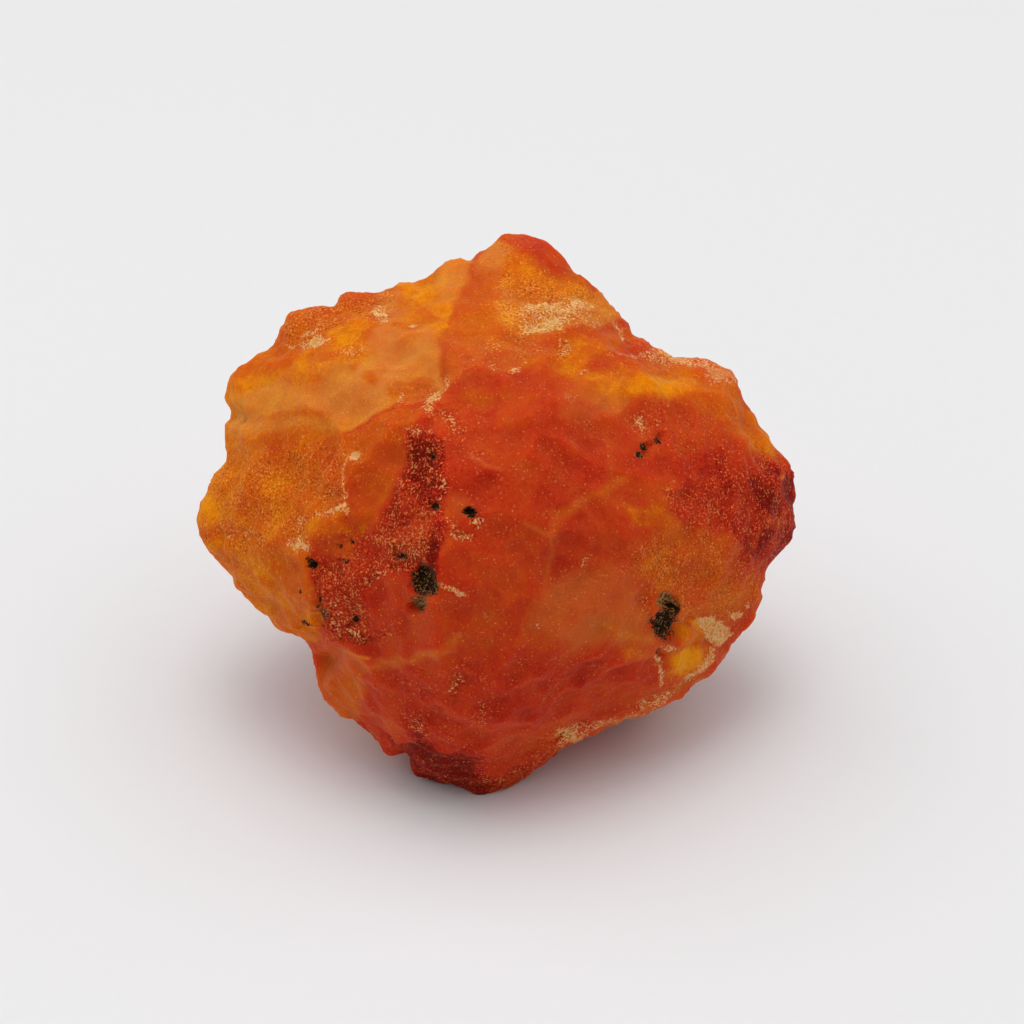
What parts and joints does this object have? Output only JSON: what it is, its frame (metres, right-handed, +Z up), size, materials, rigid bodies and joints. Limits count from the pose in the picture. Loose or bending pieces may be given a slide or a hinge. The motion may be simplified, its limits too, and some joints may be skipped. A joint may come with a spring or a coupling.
{
  "type": "rough carnelian",
  "caption": "A rough, unpolished lump of translucent orange-red chalcedony with shell-like breaks, grainy patches, dark pits and a pale rind, standing on a flat break.",
  "frame": {"origin": "under the middle of the stone's box, on the surface it stands on", "axes": "+X along the stone's width, to the right as the broad face is seen; +Y away from the broad face, to the back; +Z up"},
  "size_m": [0.0452, 0.035, 0.0351],
  "materials": {
    "carnelian": "waxy and translucent orange-red, with grainy patches, pale rind and dark pits"
  },
  "bodies": {
    "root": {"carnelian": "carnelian"}
  },
  "joints": []
}
